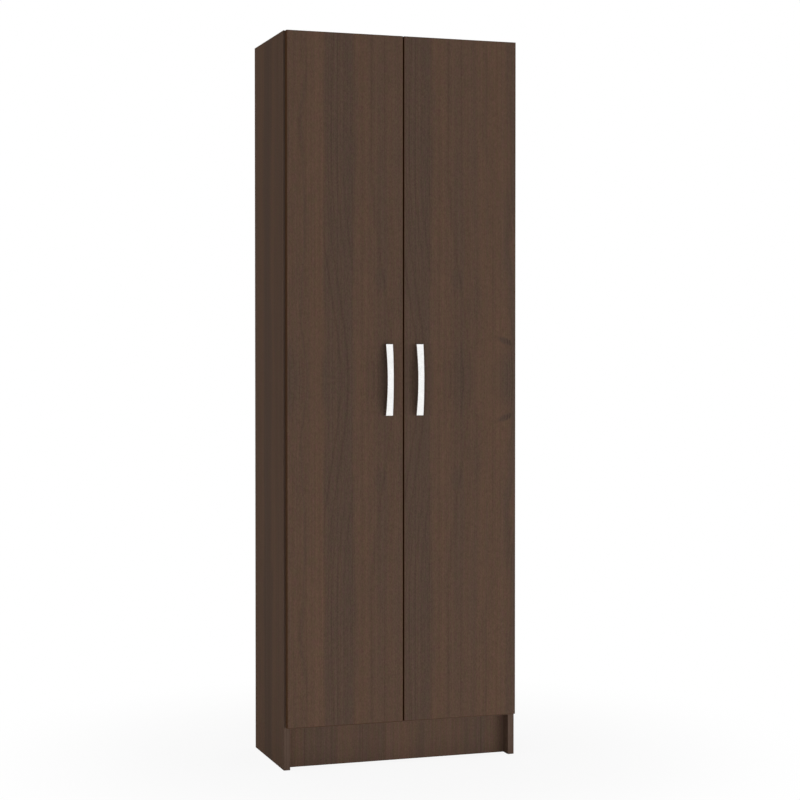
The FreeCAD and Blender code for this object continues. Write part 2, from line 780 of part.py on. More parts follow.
def hinge_arm():
    """A hinge arm from its knuckle at the origin, round the bend and back along the side panel."""
    body = new_body("hinge_arm")
    half = "arm_thickness / 2"
    strap_start = "front_reach + strap_start"
    strap_end = "front_reach + strap_end"
    hook = sketch_on(body, "z")
    outline(hook, [("0", f"-{half}"), ("arm_far", f"-{half}"), ("arm_far", strap_end),
                   ("arm_near", strap_end), ("arm_near", half), ("0", half)])
    pad(body, hook, "z", "arm_width", 0)
    far = value("arm_far")
    near = value("arm_near")
    front = -value(half)
    fillet(body, "arm_bend", lambda edge: runs(edge, "z") and abs(edge.CenterOfMass.x - far) < NEAR
           and abs(edge.CenterOfMass.y - front) < NEAR)
    fillet(body, "arm_inner_bend", lambda edge: runs(edge, "z") and abs(edge.CenterOfMass.x - near) < NEAR
           and abs(edge.CenterOfMass.y + front) < NEAR)
    knuckle = sketch_on(body, "z")
    circle(knuckle, ("0", "0"), "knuckle")
    pad(body, knuckle, "z", "arm_width", 0)
    strap = sketch_on(body, "z")
    rectangle(strap, ("arm_near", strap_start), ("arm_far", strap_end))
    pad(body, strap, "z", "strap_width", 0)
    end = value(strap_end)
    fillet(body, "strap_end_round", lambda edge: runs(edge, "x") and abs(edge.CenterOfMass.y - end) < NEAR)
    bore = sketch_on(body, "z")
    circle(bore, ("0", "0"), "pivot_pin + 2 * pivot_play")
    pocket(body, bore, "z", "2 * arm_width", 0)
    screws = sketch_on(body, "x", "arm_near")
    for setback in ("strap_screw_front", "strap_screw_rear"):
        circle(screws, (f"front_reach + {setback}", "0"), "machine_screw + 2 * fit_play")
    pocket(body, screws, "x", "arm_thickness", 1)
    return body


def hinge_plate():
    """A mounting plate on the side panel, with the front edge of the carcass at y 0."""
    body = new_body("hinge_plate")
    wing = sketch_on(body, "x")
    rectangle(wing, ("plate_setback - plate_wing_width / 2", "-plate_wing_length / 2"),
              ("plate_setback + plate_wing_width / 2", "plate_wing_length / 2"))
    pad(body, wing, "x", "plate_base")
    fillet(body, "plate_round", lambda edge: runs(edge, "x"))
    spine = sketch_on(body, "x")
    rectangle(spine, ("plate_front", "-plate_spine_width / 2"), ("plate_rear", "plate_spine_width / 2"))
    pad(body, spine, "x", "arm_offset")
    ends = (value("plate_front"), value("plate_rear"))
    fillet(body, "plate_round",
           lambda edge: runs(edge, "x") and min(abs(edge.CenterOfMass.y - end) for end in ends) < NEAR)
    screws = sketch_on(body, "x", "plate_base")
    for step in (-1, 1):
        circle(screws, ("plate_setback", f"{step} * plate_screw_spacing / 2"), "wood_screw + 2 * fit_play")
    pocket(body, screws, "x", "plate_base", -1)
    threads = sketch_on(body, "x", "arm_offset")
    for setback in ("strap_screw_front", "strap_screw_rear"):
        circle(threads, (setback, "0"), "machine_screw + 2 * fit_play")
    pocket(body, threads, "x", "arm_screw_grip + bore_end_play", -1)
    return body


def hinges():
    cup = hinge_cup()
    arm = hinge_arm()
    plate = hinge_plate()
    pin = turned("hinge_pin", [("0", "-pivot_pin_length / 2"), ("pivot_pin / 2", "-pivot_pin_length / 2"),
                               ("pivot_pin / 2", "pivot_pin_length / 2"), ("0", "pivot_pin_length / 2")])
    cup_screw = wood_screw("cup_screw", "cup_flange")
    plate_screw = wood_screw("plate_screw", "plate_base")
    arm_screw = screw("arm_screw", "machine_screw", "arm_thickness + arm_screw_grip",
                      "machine_screw_head", "machine_screw_head_height")
    for side, sign in SIGNS.items():
        turn = turned_in(side)
        inward = facing("x", -sign)
        out = facing("y", 1)
        group(f"{side}_hinge_cups", cup,
              [((on(side, "cup_x"), "door_back_y", level), turn) for level in HINGE_LEVELS])
        group(f"{side}_hinge_pins", pin,
              [((on(side, "pivot_x"), "pivot_y", level), turn) for level in HINGE_LEVELS])
        group(f"{side}_hinge_arms", arm,
              [((on(side, "pivot_x"), "pivot_y", level), turn) for level in HINGE_LEVELS])
        group(f"{side}_hinge_plates", plate,
              [((on(side, "inner_half"), "front_y", level), turn) for level in HINGE_LEVELS])
        group(f"{side}_cup_screws", cup_screw,
              [((on(side, x), "door_back_y + cup_flange", z), out) for x, z in cup_screw_spots()])
        group(f"{side}_plate_screws", plate_screw,
              [((on(side, "inner_half - plate_base"), "front_y + plate_setback",
                 f"{level} + {step} * plate_screw_spacing / 2"), inward)
               for level in HINGE_LEVELS for step in (-1, 1)])
        group(f"{side}_arm_screws", arm_screw,
              [((on(side, "inner_half - arm_offset - arm_thickness"), f"front_y + {setback}", level), inward)
               for level in HINGE_LEVELS for setback in ("strap_screw_front", "strap_screw_rear")])


# Doors and what they carry

def cup_screw_spots():
    return [("cup_x - cup_screw_offset", f"{level} + {step} * cup_screw_spacing / 2")
            for level in HINGE_LEVELS for step in (-1, 1)]


def handle_levels():
    return [f"door_middle + {step} * handle_spacing / 2" for step in (-1, 1)]


def strike_screw_spots():
    return [(f"catch_inset + {step} * strike_screw_spacing / 2", "catch_z") for step in (-1, 1)]


def door(side):
    low_x = "-door_out" if side == "left" else "door_in"
    body = board(f"{side}_door", "y", (f"{low_x} + edge_band", "door_front_y", "door_bottom + edge_band"),
                 ("door_out - door_in - 2 * edge_band", "door_thickness",
                  "door_top - door_bottom - 2 * edge_band"))
    drill(body, "y", "door_back_y", [(on(side, "cup_x"), level) for level in HINGE_LEVELS],
          "cup_diameter", "cup_depth + fit_play", -1)
    screws = [(on(side, x), z) for x, z in cup_screw_spots() + strike_screw_spots()]
    drill(body, "y", "door_back_y", screws, "wood_screw + 2 * fit_play",
          "wood_screw_grip + bore_end_play", -1)
    drill(body, "y", "door_back_y", [(on(side, "handle_x"), level) for level in handle_levels()],
          "machine_screw + 2 * fit_play", "door_thickness", -1)
    keep(body, f"{side}_door")
    door_bands(side, low_x)


def door_bands(side, low_x):
    """The four edge bands round a door. The upright ones cover the ends of the level ones."""
    width = "door_out - door_in"
    height = "door_top - door_bottom"
    between = f"{width} - 2 * edge_band"
    far = f"{width} - edge_band"
    upper = f"{height} - edge_band"
    strips = {
        "near": ("0", "0", "edge_band", height, ("0",), ("0", height)),
        "far": (far, "0", "edge_band", height, ("edge_band",), ("0", height)),
        "lower": ("edge_band", "0", between, "edge_band", (), ("0",)),
        "upper": ("edge_band", upper, between, "edge_band", (), ("edge_band",)),
    }
    bands = []
    for name, (across, up, length, rise, sides, ends) in strips.items():
        body = board(f"{side}_{name}_band", "y",
                     (f"{low_x} + {across}", "door_front_y", f"door_bottom + {up}"),
                     (length, "door_thickness", rise))
        outer_x = [value(text) for text in sides]
        outer_z = [value(text) for text in ends]
        fillet(body, "edge_round",
               lambda edge: lies(edge, "z", "x", outer_x) or lies(edge, "x", "z", outer_z))
        bands.append(body)
    compound = doc.addObject("Part::Compound", f"{side}_door_edge_band")
    compound.Links = bands
    keep(compound, f"{side}_door_edge_band")


def handle(side):
    """A waisted bow handle, with its middle at the origin on the door's front face."""
    body = new_body(f"{side}_handle", (on(side, "handle_x"), "door_front_y", "door_middle"))
    half = "handle_length / 2"
    bow = sketch_on(body, "x")
    outline(bow, [("-handle_end", f"-{half}", "-handle_projection", "0"), ("-handle_end", half), ("0", half),
                  ("0", f"{half} - handle_foot", "handle_strap - handle_projection", "0"),
                  ("0", f"handle_foot - {half}"), ("0", f"-{half}")])
    pad(body, bow, "x", "handle_width", 0)
    for sign in ("", "-"):
        edge = f"{sign}handle_width / 2"
        beyond = f"{sign}handle_width"
        waist = sketch_on(body, "y")
        outline(waist, [(edge, f"-{half}", f"{sign}handle_waist / 2", "0"), (edge, half),
                        (beyond, half), (beyond, f"-{half}")])
        pocket(body, waist, "y", "handle_projection", -1)
    front = -value("handle_end")
    fillet(body, "handle_round", lambda edge: edge.BoundBox.YMax < front + NEAR)
    foot = value(f"{half} - handle_foot")
    fillet(body, "handle_inner_round",
           lambda edge: edge.BoundBox.ZMax < foot + NEAR and edge.BoundBox.ZLength > foot)
    screws = sketch_on(body, "y")
    for step in (-1, 1):
        circle(screws, ("0", f"{step} * handle_spacing / 2"), "machine_screw + 2 * fit_play")
    pocket(body, screws, "y", "handle_bore_depth", -1)
    keep(body, f"{side}_handle")


def catch_screw_spots():
    return [(f"{sign} * catch_inset + {step} * catch_screw_spacing / 2",
             "front_y + catch_front + catch_depth / 2", "top_level - catch_height")
            for sign in SIGNS.values() for step in (-1, 1)]


def catches():
    """The magnetic catches under the top panel, with the front edge of the carcass at y 0."""
    housing = new_body("catch")
    block = sketch_on(housing, "z")
    rectangle(block, ("-catch_width / 2", "catch_front"), ("catch_width / 2", "catch_front + catch_depth"))
    pad(housing, block, "z", "catch_height", -1)
    fillet(housing, "catch_round", lambda edge: runs(edge, "z"))
    mouth = sketch_on(housing, "y", "catch_front")
    rectangle(mouth, ("-(magnet_width / 2 + fit_play)", "-((catch_height + magnet_height) / 2 + fit_play)"),
              ("magnet_width / 2 + fit_play", "(magnet_height - catch_height) / 2 + fit_play"))
    pocket(housing, mouth, "y", "magnet_pocket", 1)
    screws = sketch_on(housing, "z")
    for step in (-1, 1):
        circle(screws, (f"{step} * catch_screw_spacing / 2", "catch_front + catch_depth / 2"),
               "wood_screw + 2 * fit_play")
    pocket(housing, screws, "z", "catch_height", -1)
    magnet = new_body("magnet")
    bar = sketch_on(magnet, "x")
    low = "-(catch_height + magnet_height) / 2"
    high = "(magnet_height - catch_height) / 2"
    groove_low = "-(catch_height + magnet_groove_width) / 2"
    groove_high = "(magnet_groove_width - catch_height) / 2"
    groove_end = "magnet_front + magnet_groove_depth"
    back = "catch_front + magnet_pocket"
    outline(bar, [("magnet_front", low), (back, low), (back, high), ("magnet_front", high),
                  ("magnet_front", groove_high), (groove_end, groove_high), (groove_end, groove_low),
                  ("magnet_front", groove_low)])
    pad(magnet, bar, "x", "magnet_width", 0)
    spots = [((on(side, "catch_inset"), "front_y", "top_level"), Rotation()) for side in SIGNS]
    group("magnetic_catches", housing, spots)
    group("catch_magnets", magnet, spots)
    group("catch_screws", wood_screw("catch_screw", "catch_height"),
          [(spot, facing("z", -1)) for spot in catch_screw_spots()])


def strike(side):
    body = new_body(f"{side}_strike_plate", (on(side, "catch_inset"), "door_back_y", "catch_z"))
    plate = sketch_on(body, "y")
    middle_rectangle(plate, "strike_length", "strike_height")
    pad(body, plate, "y", "strike_thickness")
    fillet(body, "strike_round", lambda edge: runs(edge, "y"))
    screws = sketch_on(body, "y")
    for step in (-1, 1):
        circle(screws, (f"{step} * strike_screw_spacing / 2", "0"), "wood_screw + 2 * fit_play")
    pocket(body, screws, "y", "strike_thickness", 1)
    keep(body, f"{side}_strike_plate")


def door_fittings():
    handle_screw = screw("handle_screw", "machine_screw",
                         "door_thickness + handle_bore_depth - bore_end_play",
                         "machine_screw_head", "machine_screw_head_height")
    strike_screw = wood_screw("strike_screw", "strike_thickness")
    thickness = "door_gap - bumper_play"
    bumper = turned("bumper", [
        ("0", "0"), ("bumper_diameter / 2", "0"), ("bumper_diameter / 2", f"{thickness} - bumper_chamfer"),
        ("bumper_diameter / 2 - bumper_chamfer", thickness), ("0", thickness)])
    back = facing("y", 1)
    for side in SIGNS:
        group(f"{side}_handle_screws", handle_screw,
              [((on(side, "handle_x"), "door_back_y", level), back) for level in handle_levels()])
        group(f"{side}_strike_screws", strike_screw,
              [((on(side, x), "door_back_y + strike_thickness", z), back) for x, z in strike_screw_spots()])
        group(f"{side}_door_bumpers", bumper,
              [((on(side, "door_in + bumper_inset"), "door_back_y", level), back)
               for level in ("(door_bottom + bottom_top) / 2", "top_level + board / 2")])


# Build, check and write

def check():
    doc.recompute()
    for item in doc.Objects:
        if "Invalid" in item.State or "Error" in item.State:
            raise RuntimeError(f"{item.Label} did not build")
        if item.TypeId == "PartDesign::Pocket":
            if item.Shape.Volume > item.BaseFeature.Shape.Volume - NEAR:
                raise RuntimeError(f"{item.Label} cuts nothing")
    for node in nodes:
        if not node.Shape.isValid() or not node.Shape.Solids:
            raise RuntimeError(f"{node.Label} is not a sound solid")


def build():
    for side in SIGNS:
        side_panel(side)
    level_panels()
    plinth()
    back_panel()
    carcass_bands()
    cam_joints()
    shelf_pins()
    hanging_rail()
    for side in SIGNS:
        door(side)
        handle(side)
        strike(side)
    hinges()
    catches()
    door_fittings()


build()
check()
os.makedirs("parts", exist_ok=True)
for node in nodes:
    node.Shape.exportStep(f"parts/{node.Label}.step")
print(f"{len(nodes)} nodes, {sum(len(node.Shape.Solids) for node in nodes)} solids")
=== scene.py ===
import math

import bpy
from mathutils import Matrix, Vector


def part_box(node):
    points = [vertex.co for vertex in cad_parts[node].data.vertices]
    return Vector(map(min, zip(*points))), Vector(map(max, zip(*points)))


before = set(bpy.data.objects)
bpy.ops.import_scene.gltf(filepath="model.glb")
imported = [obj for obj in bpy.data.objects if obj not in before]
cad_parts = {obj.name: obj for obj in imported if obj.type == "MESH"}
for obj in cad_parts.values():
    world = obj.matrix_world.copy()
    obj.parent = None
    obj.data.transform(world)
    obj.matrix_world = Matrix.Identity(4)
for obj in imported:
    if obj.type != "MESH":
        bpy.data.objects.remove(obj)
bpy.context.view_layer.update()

scene = bpy.context.scene
scene.view_settings.view_transform = "Standard"


# Node trees

# Sockets of a Mix node for each kind of data: the two that it mixes, and its result
MIX_SOCKETS = {"FLOAT": (2, 3, 0), "VECTOR": (4, 5, 1), "RGBA": (6, 7, 2)}


def feed(tree, source, socket):
    """Link another node's output to a socket, or set a plain value on it."""
    if isinstance(source, bpy.types.NodeSocket):
        tree.links.new(source, socket)
    else:
        socket.default_value = source


def add(tree, kind, inputs=(), **settings):
    """A new shader node. The inputs say what feeds each socket, by its name or number."""
    made = tree.nodes.new(f"ShaderNode{kind}")
    for name, setting in settings.items():
        setattr(made, name, setting)
    for name, source in dict(inputs).items():
        feed(tree, source, made.inputs[name])
    return made


def math_of(tree, operation, *values):
    made = add(tree, "Math", dict(enumerate(values)), operation=operation)
    return made.outputs[0]


def chained(tree, operation, values):
    """One operation over any number of values, in their order."""
    result = values[0]
    for value in values[1:]:
        result = math_of(tree, operation, result, value)
    return result


def plus(tree, *terms):
    return chained(tree, "ADD", terms)


def times(tree, *factors):
    return chained(tree, "MULTIPLY", factors)


def about(tree, value, swing, middle=0.0):
    """A value of 0 to 1 as one that swings about a middle."""
    return math_of(tree, "MULTIPLY_ADD", value, 2 * swing, middle - swing)


def uneven(tree, *swings):
    """A factor about 1, made of values of 0 to 1 that each have their own swing."""
    return times(tree, *(about(tree, value, swing, middle=1.0) for value, swing in swings))


def shaded(tree, share, shade):
    """A factor of 1 that falls by a shade where the share is 1."""
    return math_of(tree, "MULTIPLY_ADD", share, -shade, 1.0)


def between(tree, value, low, high, to_low=0.0, to_high=1.0):
    """A smooth step from one value to another."""
    made = add(tree, "MapRange", {"Value": value, "From Min": low, "From Max": high,
                                  "To Min": to_low, "To Max": to_high}, interpolation_type="SMOOTHSTEP")
    return made.outputs["Result"]


def mix(tree, share, first, second, kind="RGBA"):
    """What lies between two colours, or between two values or places of another kind."""
    low, high, result = MIX_SOCKETS[kind]
    made = add(tree, "Mix", {0: share, low: first, high: second}, data_type=kind)
    return made.outputs[result]


def vector_of(tree, operation, first, second):
    made = add(tree, "VectorMath", {0: first, 1: second}, operation=operation)
    return made.outputs["Vector"]


def length_of(tree, vector):
    return add(tree, "VectorMath", {0: vector}, operation="LENGTH").outputs["Value"]


def lit(tree, colour, value):
    """A colour made lighter or darker by a value."""
    made = add(tree, "VectorMath", {0: colour, "Scale": value}, operation="SCALE")
    return made.outputs["Vector"]


def parts_of(tree, vector):
    return add(tree, "SeparateXYZ", {0: vector}).outputs


def joined(tree, *parts):
    return add(tree, "CombineXYZ", dict(enumerate(parts))).outputs[0]


def noise(tree, place, cells, detail=2.0, roughness=0.5):
    """Noise with its own number of cells per metre along each direction."""
    scaled = vector_of(tree, "MULTIPLY", place, cells)
    made = add(tree, "TexNoise", {"Vector": scaled, "Scale": 1.0, "Detail": detail, "Roughness": roughness})
    return made.outputs["Fac"]


def new_group(name, takes, gives):
    """A new node group, with what its inputs and outputs hold by their names."""
    tree = bpy.data.node_groups.new(name, "ShaderNodeTree")
    for label, kind in takes.items():
        tree.interface.new_socket(label, in_out="INPUT", socket_type=f"NodeSocket{kind}")
    for label, kind in gives.items():
        tree.interface.new_socket(label, in_out="OUTPUT", socket_type=f"NodeSocket{kind}")
    return tree, tree.nodes.new("NodeGroupInput").outputs, tree.nodes.new("NodeGroupOutput").inputs


def place_group(tree, group, inputs):
    return add(tree, "Group", inputs, node_tree=group).outputs


def srgb(red, green, blue):
    """A colour from its screen values of 0 to 255, by the usual screen curve."""
    def linear(level):
        share = level / 255
        return share / 12.92 if share <= 0.04045 else ((share + 0.055) / 1.055) ** 2.4
    return (linear(red), linear(green), linear(blue), 1.0)


# Effects that several finishes share

SURFACE = {"Color": "Color", "Roughness": "Float", "Height": "Float"}
PRINT_TAKES = {"Board": "Vector", "Bow": "Float", "Marks": "Float", "Calm": "Float", "Tone": "Float"}
COATING_TAKES = {"Place": "Vector", "Color": "Color", "Roughness": "Float"}

# Woods of the printed sheet, the casts of its fine lines, and how dark its flames and knots are
WARM_WALNUT = srgb(90, 70, 57)
ROSE_WALNUT = srgb(91, 69, 57)
COOL_WALNUT = srgb(80, 65, 56)
GREEN_CAST = (0.96, 1.04, 0.95, 1.0)
ROSE_CAST = (1.04, 0.96, 1.05, 1.0)
FLAME_SHADE = 0.15
KNOT_SHADE = 0.045

# Bands of cool heartwood across the printed sheet: where each starts and ends, in metres, and its share.
# They fade over the blur into the sapwood between them. Where the print is calm, one share is all over it.
SHEET_WIDTH = 0.40
BAND_BLUR = 0.013
SAPWOOD_SHARE = 0.12
CALM_SHARE = 0.85
HEART_BANDS = ((0.001, 0.036, 0.36), (0.037, 0.048, 0.58), (0.087, 0.177, 0.90), (0.201, 0.300, 0.46),
               (0.304, 0.319, 0.34), (0.324, 0.362, 0.00), (0.366, 0.399, 0.90))

# Dark heart, crotch figure and knots near the middle of a door: their places on the sheet and half sizes, in
# metres across and along, and their shares of heart. What a share has over 1 darkens as a knot does. A mark
# is full in its core, which is a part of its half size, and fades out from there.
DOOR_MARKS = (
    {"middle": (0.014, 0.0), "radii": (0.036, 0.160), "share": 0.95},
    {"middle": (0.252, 0.0), "radii": (0.060, 0.160), "share": 0.95},
    {"middle": (0.386, 0.0), "radii": (0.060, 0.135), "share": 1.1},
    {"middle": (0.243, 0.245), "radii": (0.028, 0.060), "share": 0.85},
    {"middle": (0.363, 0.094), "radii": (0.030, 0.011), "share": 2.2, "slant": 0.35},
)
MARK_CORE = 0.2

# Noise of the printed sheet, in cells per metre across, through and along the board
GRAIN = {
    "waver": {"cells": (13, 13, 2.6)},
    "fray": {"cells": (40, 40, 12)},
    "lean": {"cells": (7, 7, 1.6)},
    "ribbon": {"cells": (95, 95, 0.9)},
    "patch": {"cells": (40, 40, 8)},
    "streak": {"cells": (330, 330, 0.9), "detail": 3.0, "roughness": 0.6},
    "hairline": {"cells": (600, 600, 1.6), "detail": 1.0},
    "fleck": {"cells": (420, 420, 230), "roughness": 0.65},
    "pore": {"cells": (1500, 1500, 75), "detail": 1.0},
    "cast": {"cells": (430, 430, 40)},
}
FLAME_CELLS = (150, 150, 0.8)

# What the noise does: how far it moves the edges of the bands and the flames, in metres, how far it shifts
# the share of heart, how far it swings the lightness, and how high flecks stand beside the depth of pores
EDGE_REACH = {"waver": 0.030, "fray": 0.005}
LEAN_REACH = 0.010
HEART_DRIFT = {"streak": 0.40, "ribbon": 0.50, "patch": 0.45}
LIGHTNESS = {"streak": 0.21, "hairline": 0.15, "fleck": 0.37}
FLECK_RELIEF = 0.6

# Where a noise or a share starts to count, and where it counts in full
COOL_STEP = (-0.3, 1.3)
FLAME_STEP = (0.46, 0.68)
PORE_STEP = (0.60, 0.72)
CAST_STEP = (0.35, 0.65)
ROSE_STEP = (0.5, 0.75)


def heart_bands(tree, across):
    """The share of cool heartwood at a distance across the printed sheet."""
    share = math_of(tree, "DIVIDE", across, SHEET_WIDTH)
    ramp = add(tree, "ValToRGB", {"Fac": math_of(tree, "FRACT", share)})
    corners = []
    for start, end, level in HEART_BANDS:
        blur = min(BAND_BLUR, (end - start) / 2)
        corners += [(start, SAPWOOD_SHARE), (start + blur, level), (end - blur, level), (end, SAPWOOD_SHARE)]
    stops = ramp.color_ramp.elements
    while len(stops) < len(corners):
        stops.new(1.0)
    for stop, (distance, level) in zip(stops, corners):
        stop.position = distance / SHEET_WIDTH
        stop.color = (level, level, level, 1.0)
    return ramp.outputs["Color"]


def spot(tree, across, along, middle, radii, share, slant=0.0):
    """A soft oval mark on the printed sheet, slanted across its width."""
    sideways = math_of(tree, "SUBTRACT", across, middle[0])
    slanted = math_of(tree, "MULTIPLY_ADD", sideways, slant, along)
    lengthways = math_of(tree, "SUBTRACT", slanted, middle[1])
    reach = joined(tree, math_of(tree, "DIVIDE", sideways, radii[0]),
                   math_of(tree, "DIVIDE", lengthways, radii[1]))
    return between(tree, length_of(tree, reach), MARK_CORE, 1.0, share, 0.0)


def heart_share(tree, taken, grain):
    """The share of heart all over the sheet: its bands with frayed edges, and the marks of a door."""
    parts = parts_of(tree, taken["Board"])
    edge = plus(tree, parts["X"], *(about(tree, grain[name], reach) for name, reach in EDGE_REACH.items()))
    heart = heart_bands(tree, edge)
    for mark in DOOR_MARKS:
        shown = times(tree, spot(tree, edge, parts["Z"], **mark), taken["Marks"])
        heart = math_of(tree, "MAXIMUM", heart, shown)
    return mix(tree, taken["Calm"], heart, CALM_SHARE, kind="FLOAT")


def printed_walnut():
    """A printed sheet with its grain along Z: warm wood, cool heart, leaning flames, hairlines and pores.

    Bow bends the flames, Marks brings in the figure of the doors, Calm evens the heart out, and Tone
    lightens the print, which on the plinth is painted light.
    """
    tree, taken, given = new_group("printed walnut", PRINT_TAKES, SURFACE)
    board = taken["Board"]
    grain = {name: noise(tree, board, **kind) for name, kind in GRAIN.items()}
    heart = heart_share(tree, taken, grain)
    drift = (about(tree, grain[name], swing) for name, swing in HEART_DRIFT.items())
    cool = between(tree, plus(tree, heart, *drift), *COOL_STEP)
    lean = plus(tree, about(tree, grain["lean"], LEAN_REACH), taken["Bow"])
    leaning = vector_of(tree, "ADD", board, joined(tree, lean))
    flame = between(tree, noise(tree, leaning, FLAME_CELLS), *FLAME_STEP)
    knot = math_of(tree, "MAXIMUM", math_of(tree, "SUBTRACT", heart, 1.0), 0.0)
    pore = between(tree, grain["pore"], *PORE_STEP)
    value = times(tree, uneven(tree, *((grain[name], swing) for name, swing in LIGHTNESS.items())),
                  about(tree, pore, swing=-0.05, middle=0.965),
                  shaded(tree, times(tree, flame, heart), FLAME_SHADE), shaded(tree, knot, KNOT_SHADE),
                  taken["Tone"])
    warm = mix(tree, between(tree, grain["hairline"], *ROSE_STEP), WARM_WALNUT, ROSE_WALNUT)
    cast = mix(tree, between(tree, grain["cast"], *CAST_STEP), GREEN_CAST, ROSE_CAST)
    wood = vector_of(tree, "MULTIPLY", mix(tree, cool, warm, COOL_WALNUT), cast)
    feed(tree, lit(tree, wood, value), given["Color"])
    feed(tree, about(tree, grain["streak"], swing=-0.10, middle=0.72), given["Roughness"])
    feed(tree, math_of(tree, "SUBTRACT", times(tree, grain["fleck"], FLECK_RELIEF), pore), given["Height"])
    return tree


def raw_chipboard():
    """The core of a board where it isn't covered: pressed flakes and dust."""
    tree, taken, given = new_group("raw chipboard", {"Place": "Vector"}, SURFACE)
    place = taken["Place"]
    scatter = add(tree, "TexNoise", {"Vector": place, "Scale": 300.0}).outputs["Color"]
    shifted = vector_of(tree, "ADD", place, lit(tree, scatter, value=0.003))
    flakes = add(tree, "TexVoronoi", {"Vector": shifted, "Scale": 420.0})
    tone = add(tree, "SeparateColor", {0: flakes.outputs["Color"]}).outputs["Red"]
    dust = noise(tree, place, cells=(900, 900, 900), detail=3.0)
    wood = mix(tree, tone, srgb(148, 110, 74), srgb(208, 174, 130))
    feed(tree, lit(tree, wood, uneven(tree, (dust, 0.25))), given["Color"])
    feed(tree, about(tree, dust, swing=0.08, middle=0.86), given["Roughness"])
    feed(tree, math_of(tree, "SUBTRACT", dust, flakes.outputs["Distance"]), given["Height"])
    return tree


def plated_metal():
    """Rolled or cast metal under thin plating: faint draw lines and a cloudy sheen."""
    tree, taken, given = new_group("plated metal", COATING_TAKES, SURFACE)
    place = taken["Place"]
    lines = noise(tree, place, cells=(900, 900, 60), detail=3.0, roughness=0.6)
    cloud = noise(tree, place, cells=(70, 70, 70), detail=3.0)
    value = uneven(tree, (cloud, 0.12), (lines, 0.06))
    sheen = uneven(tree, (cloud, 0.35), (lines, 0.25))
    feed(tree, lit(tree, taken["Color"], value), given["Color"])
    feed(tree, times(tree, taken["Roughness"], sheen), given["Roughness"])
    feed(tree, lines, given["Height"])
    return tree


def moulded_plastic():
    """Moulded plastic with a fine spark grain and slight flow marks."""
    tree, taken, given = new_group("moulded plastic", COATING_TAKES, SURFACE)
    place = taken["Place"]
    spark = noise(tree, place, cells=(2600, 2600, 2600))
    flow = noise(tree, place, cells=(90, 90, 45), detail=3.0)
    value = uneven(tree, (flow, 0.10), (spark, 0.08))
    sheen = uneven(tree, (flow, 0.20))
    feed(tree, lit(tree, taken["Color"], value), given["Color"])
    feed(tree, times(tree, taken["Roughness"], sheen), given["Roughness"])
    feed(tree, spark, given["Height"])
    return tree


WALNUT = printed_walnut()
CHIPBOARD = raw_chipboard()

# The normal's part through a board, where its core ends and its printed face begins
CORE_FACING = 0.6
SHEET_FACING = 0.8


def laminated_board():
    """A board of pressed flakes with printed sheets on its two faces.

    Facing is the normal's part through the board.
    """
    takes = {"Place": "Vector", "Facing": "Float", **PRINT_TAKES}
    tree, taken, given = new_group("laminated board", takes, SURFACE)
    sheet = place_group(tree, WALNUT, {name: taken[name] for name in PRINT_TAKES})
    core = place_group(tree, CHIPBOARD, {"Place": taken["Place"]})
    face = between(tree, math_of(tree, "ABSOLUTE", taken["Facing"]), CORE_FACING, SHEET_FACING)
    feed(tree, mix(tree, face, core["Color"], sheet["Color"]), given["Color"])
    for name in ("Roughness", "Height"):
        feed(tree, mix(tree, face, core[name], sheet[name], kind="FLOAT"), given[name])
    return tree


DARK_STREAK = srgb(52, 36, 25)


def edge_banding():
    """Thin banding with faint streaks along Z of its strip. Swing is how far they stray from its colour."""
    takes = {"Strip": "Vector", "Color": "Color", "Swing": "Float"}
    tree, taken, given = new_group("edge banding", takes, SURFACE)
    strip = taken["Strip"]
    streak = noise(tree, strip, cells=(600, 600, 3.0), detail=4.0, roughness=0.6)
    fleck = noise(tree, strip, cells=(700, 700, 90))
    strays = (about(tree, line, swing=1.0) for line in (streak, fleck))
    value = times(tree, *(math_of(tree, "MULTIPLY_ADD", stray, taken["Swing"], 1.0) for stray in strays))
    feed(tree, lit(tree, mix(tree, streak, taken["Color"], DARK_STREAK), value), given["Color"])
    feed(tree, about(tree, streak, swing=-0.12, middle=0.60), given["Roughness"])
    feed(tree, fleck, given["Height"])
    return tree


LAMINATED = laminated_board()
BANDING = edge_banding()
PLATED = plated_metal()
MOULDED = moulded_plastic()


# Finishes

def new_finish(name):
    material = bpy.data.materials.new(name)
    material.use_nodes = True
    tree = material.node_tree
    return material, tree, tree.nodes["Principled BSDF"]


def surface(tree, shader, made, strength, distance):
    """Colour, gloss and relief into a shader."""
    feed(tree, made["Color"], shader.inputs["Base Color"])
    feed(tree, made["Roughness"], shader.inputs["Roughness"])
    bump = add(tree, "Bump", {"Height": made["Height"], "Strength": strength, "Distance": distance})
    feed(tree, bump.outputs["Normal"], shader.inputs["Normal"])


left_low, left_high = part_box("left_door_edge_band")
right_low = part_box("right_door_edge_band")[0]
side_low, side_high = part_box("left_side_panel")
handle_low, handle_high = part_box("left_handle")

MATTE_LAMINATE = 0.004

# How far on the sheet the prints of the right door and of the side panels begin, in metres
RIGHT_DOOR_SHIFT = 0.098
SIDE_SHIFT = 0.002

# What to add to a place on each board to find it on the sheet, across and along, in metres
LEFT_DOOR_START = (-left_low.x, 0)
RIGHT_DOOR_START = (RIGHT_DOOR_SHIFT - right_low.x, 0)
SIDE_START = (SIDE_SHIFT + side_high.y, 3.1)
PLINTH_START = (1.13, 5.2)
LEVEL_START = (2.05, 8.4)
BACK_START = (1.37, 6.0)

# The doors' print runs both ways from the handles' level. Its flames bow sideways there by the reach, and
# less and less from the start to the end, which are distances from that level in metres.
HANDLE_LEVEL = (handle_low.z + handle_high.z) / 2
BOW_START = -0.05
BOW_END = 0.55
BOW_REACH = -0.06


